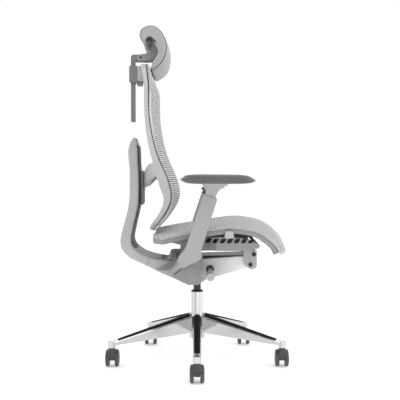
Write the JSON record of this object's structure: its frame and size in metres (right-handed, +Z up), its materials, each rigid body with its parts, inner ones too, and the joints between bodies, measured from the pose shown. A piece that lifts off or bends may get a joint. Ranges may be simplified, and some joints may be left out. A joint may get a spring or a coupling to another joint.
{
  "type": "office chair",
  "caption": "High-back swivel chair with stretched mesh seat and back, curled headrest, adjustable armrests, synchro tilt and a star base on twin-wheel casters.",
  "frame": {"origin": "on the floor, on the axis of the lift column", "axes": "+X is the way the sitter faces, +Y is the sitter's left, +Z is up"},
  "size_m": [0.6586, 0.69, 1.2087],
  "materials": {
    "polished_aluminium": "polished",
    "black_gloss": "gloss",
    "caster_grey": "satin",
    "wheel_grey": "matte",
    "steel": "brushed",
    "light_grey": "satin",
    "mid_grey": "satin",
    "dark_grey": "matte",
    "arm_pad": "soft",
    "steel_dark": "satin",
    "mesh_fabric": "ribbed mesh",
    "headrest_fabric": "soft weave"
  },
  "bodies": {
    "base": {"star_base": "polished_aluminium", "leg_inlays": "black_gloss", "lift_tube": "polished_aluminium", "lift_collar": "black_gloss"},
    "caster_1": {"caster_1_hood": "caster_grey", "caster_1_pins": "steel"},
    "wheels_1": {"caster_1_wheels": "wheel_grey"},
    "caster_2": {"caster_2_hood": "caster_grey", "caster_2_pins": "steel"},
    "wheels_2": {"caster_2_wheels": "wheel_grey"},
    "caster_3": {"caster_3_hood": "caster_grey", "caster_3_pins": "steel"},
    "wheels_3": {"caster_3_wheels": "wheel_grey"},
    "caster_4": {"caster_4_hood": "caster_grey", "caster_4_pins": "steel"},
    "wheels_4": {"caster_4_wheels": "wheel_grey"},
    "caster_5": {"caster_5_hood": "caster_grey", "caster_5_pins": "steel"},
    "wheels_5": {"caster_5_wheels": "wheel_grey"},
    "column": {"gas_cylinder": "black_gloss"},
    "mechanism": {"mech_housing": "light_grey", "tilt_pins": "steel_dark", "lever_boots": "dark_grey", "tilt_spring": "steel_dark"},
    "height_lever": {"height_lever": "light_grey"},
    "tilt_lock_lever": {"tilt_lock_lever": "light_grey"},
    "links": {"front_links": "light_grey", "link_bolts": "steel_dark"},
    "carrier": {"seat_carrier": "dark_grey", "carrier_pin": "steel_dark"},
    "seat": {"seat_mesh": "mesh_fabric", "seat_rim": "light_grey", "seat_pan": "light_grey"},
    "depth_button": {"depth_button": "light_grey"},
    "back_arm": {"spine": "light_grey", "spine_liner": "dark_grey", "pivot_covers": "mid_grey", "arm_support_right": "light_grey", "arm_support_left": "light_grey", "arm_screws": "steel_dark"},
    "post_right": {"arm_post_right": "light_grey"},
    "button_right": {"arm_button_right": "dark_grey"},
    "plate_right": {"arm_plate_right": "light_grey"},
    "pad_right": {"arm_pad_right": "arm_pad"},
    "post_left": {"arm_post_left": "light_grey"},
    "button_left": {"arm_button_left": "dark_grey"},
    "plate_left": {"arm_plate_left": "light_grey"},
    "pad_left": {"arm_pad_left": "arm_pad"},
    "backrest": {"back_frame": "light_grey", "back_bezel": "dark_grey", "back_mesh": "mesh_fabric", "back_slider": "mid_grey", "headrest_clamp": "mid_grey", "clamp_screws": "steel_dark"},
    "headrest_post": {"headrest_bar": "mid_grey", "headrest_pin": "steel_dark"},
    "headrest": {"headrest_yoke": "light_grey", "headrest_shell": "dark_grey", "headrest_pad": "headrest_fabric"}
  },
  "joints": [
    {"name": "caster_1_swivel", "type": "hinge", "parent": "base", "child": "caster_1", "pos_m": [0, -0.32, 0.06], "axis": [0, 0, 1], "continuous": true},
    {"name": "caster_1_roll", "type": "hinge", "parent": "caster_1", "child": "wheels_1", "pos_m": [0, -0.302, 0.029], "axis": [1, 0, 0], "continuous": true},
    {"name": "caster_2_swivel", "type": "hinge", "parent": "base", "child": "caster_2", "pos_m": [0.30434, -0.09889, 0.06], "axis": [0, 0, 1], "continuous": true},
    {"name": "caster_2_roll", "type": "hinge", "parent": "caster_2", "child": "wheels_2", "pos_m": [0.30434, -0.08088, 0.029], "axis": [1, 0, 0], "continuous": true},
    {"name": "caster_3_swivel", "type": "hinge", "parent": "base", "child": "caster_3", "pos_m": [0.18809, 0.25888, 0.06], "axis": [0, 0, 1], "continuous": true},
    {"name": "caster_3_roll", "type": "hinge", "parent": "caster_3", "child": "wheels_3", "pos_m": [0.18809, 0.27688, 0.029], "axis": [1, 0, 0], "continuous": true},
    {"name": "caster_4_swivel", "type": "hinge", "parent": "base", "child": "caster_4", "pos_m": [-0.18809, 0.25888, 0.06], "axis": [0, 0, 1], "continuous": true},
    {"name": "caster_4_roll", "type": "hinge", "parent": "caster_4", "child": "wheels_4", "pos_m": [-0.18809, 0.27688, 0.029], "axis": [1, 0, 0], "continuous": true},
    {"name": "caster_5_swivel", "type": "hinge", "parent": "base", "child": "caster_5", "pos_m": [-0.30434, -0.09889, 0.06], "axis": [0, 0, 1], "continuous": true},
    {"name": "caster_5_roll", "type": "hinge", "parent": "caster_5", "child": "wheels_5", "pos_m": [-0.30434, -0.08088, 0.029], "axis": [1, 0, 0], "continuous": true},
    {"name": "lift", "type": "slide", "parent": "base", "child": "column", "axis": [0, 0, 1], "range_m": [-0.02, 0.08]},
    {"name": "seat_swivel", "type": "hinge", "parent": "column", "child": "mechanism", "pos_m": [0, 0, 0.3], "axis": [0, 0, 1], "continuous": true},
    {"name": "height_lever_lift", "type": "hinge", "parent": "mechanism", "child": "height_lever", "pos_m": [0.046, -0.0845, 0.35], "axis": [-1, 0, 0], "range_deg": [0, 8], "stiffness_Nm_per_rad": 2, "springref_deg": -11.46},
    {"name": "tilt_lock_turn", "type": "hinge", "parent": "mechanism", "child": "tilt_lock_lever", "pos_m": [0.046, 0.083, 0.35], "axis": [0, 1, 0], "range_deg": [0, 35]},
    {"name": "recline", "type": "hinge", "parent": "mechanism", "child": "back_arm", "pos_m": [-0.0185, 0, 0.337], "axis": [0, -1, 0], "range_deg": [0, 20], "stiffness_Nm_per_rad": 60, "springref_deg": -28.65},
    {"name": "link_turn", "type": "hinge", "parent": "mechanism", "child": "links", "pos_m": [0.19, 0, 0.367], "axis": [0, -1, 0], "range_deg": [0, 28]},
    {"name": "carrier_tilt", "type": "hinge", "parent": "links", "child": "carrier", "pos_m": [0.202, 0, 0.404], "axis": [0, -1, 0], "range_deg": [-22.5, 0]},
    {"name": "seat_depth", "type": "slide", "parent": "carrier", "child": "seat", "axis": [1, 0, 0], "range_m": [0, 0.05]},
    {"name": "depth_button_press", "type": "slide", "parent": "seat", "child": "depth_button", "axis": [0, 1, 0], "range_m": [0, 0.003], "stiffness_N_per_m": 300, "springref_m": -0.003},
    {"name": "back_height", "type": "slide", "parent": "back_arm", "child": "backrest", "axis": [0, 0, 1], "range_m": [0, 0.05]},
    {"name": "headrest_height", "type": "slide", "parent": "backrest", "child": "headrest_post", "axis": [0, 0, 1], "range_m": [0, 0.055]},
    {"name": "headrest_tilt", "type": "hinge", "parent": "headrest_post", "child": "headrest", "pos_m": [-0.205, 0, 1.112], "axis": [0, 1, 0], "range_deg": [-20, 0]},
    {"name": "arm_height_right", "type": "slide", "parent": "back_arm", "child": "post_right", "axis": [0.304, 0, 0.9527], "range_m": [0, 0.07]},
    {"name": "arm_button_right_press", "type": "slide", "parent": "post_right", "child": "button_right", "axis": [1, 0, 0], "range_m": [0, 0.003], "stiffness_N_per_m": 200, "springref_m": -0.002},
    {"name": "arm_swivel_right", "type": "hinge", "parent": "post_right", "child": "plate_right", "pos_m": [0.055, -0.298, 0.65], "axis": [0, 0, 1], "range_deg": [-20, 20]},
    {"name": "arm_slide_right", "type": "slide", "parent": "plate_right", "child": "pad_right", "axis": [1, 0, 0], "range_m": [-0.025, 0.035]},
    {"name": "arm_height_left", "type": "slide", "parent": "back_arm", "child": "post_left", "axis": [0.304, 0, 0.9527], "range_m": [0, 0.07]},
    {"name": "arm_button_left_press", "type": "slide", "parent": "post_left", "child": "button_left", "axis": [1, 0, 0], "range_m": [0, 0.003], "stiffness_N_per_m": 200, "springref_m": -0.002},
    {"name": "arm_swivel_left", "type": "hinge", "parent": "post_left", "child": "plate_left", "pos_m": [0.055, 0.298, 0.65], "axis": [0, 0, 1], "range_deg": [-20, 20]},
    {"name": "arm_slide_left", "type": "slide", "parent": "plate_left", "child": "pad_left", "axis": [1, 0, 0], "range_m": [-0.025, 0.035]}
  ],
  "couplings": [
    {"joint": "link_turn", "follows": "recline", "ratio": 1.3741},
    {"joint": "carrier_tilt", "follows": "recline", "ratio": -1.0977}
  ]
}
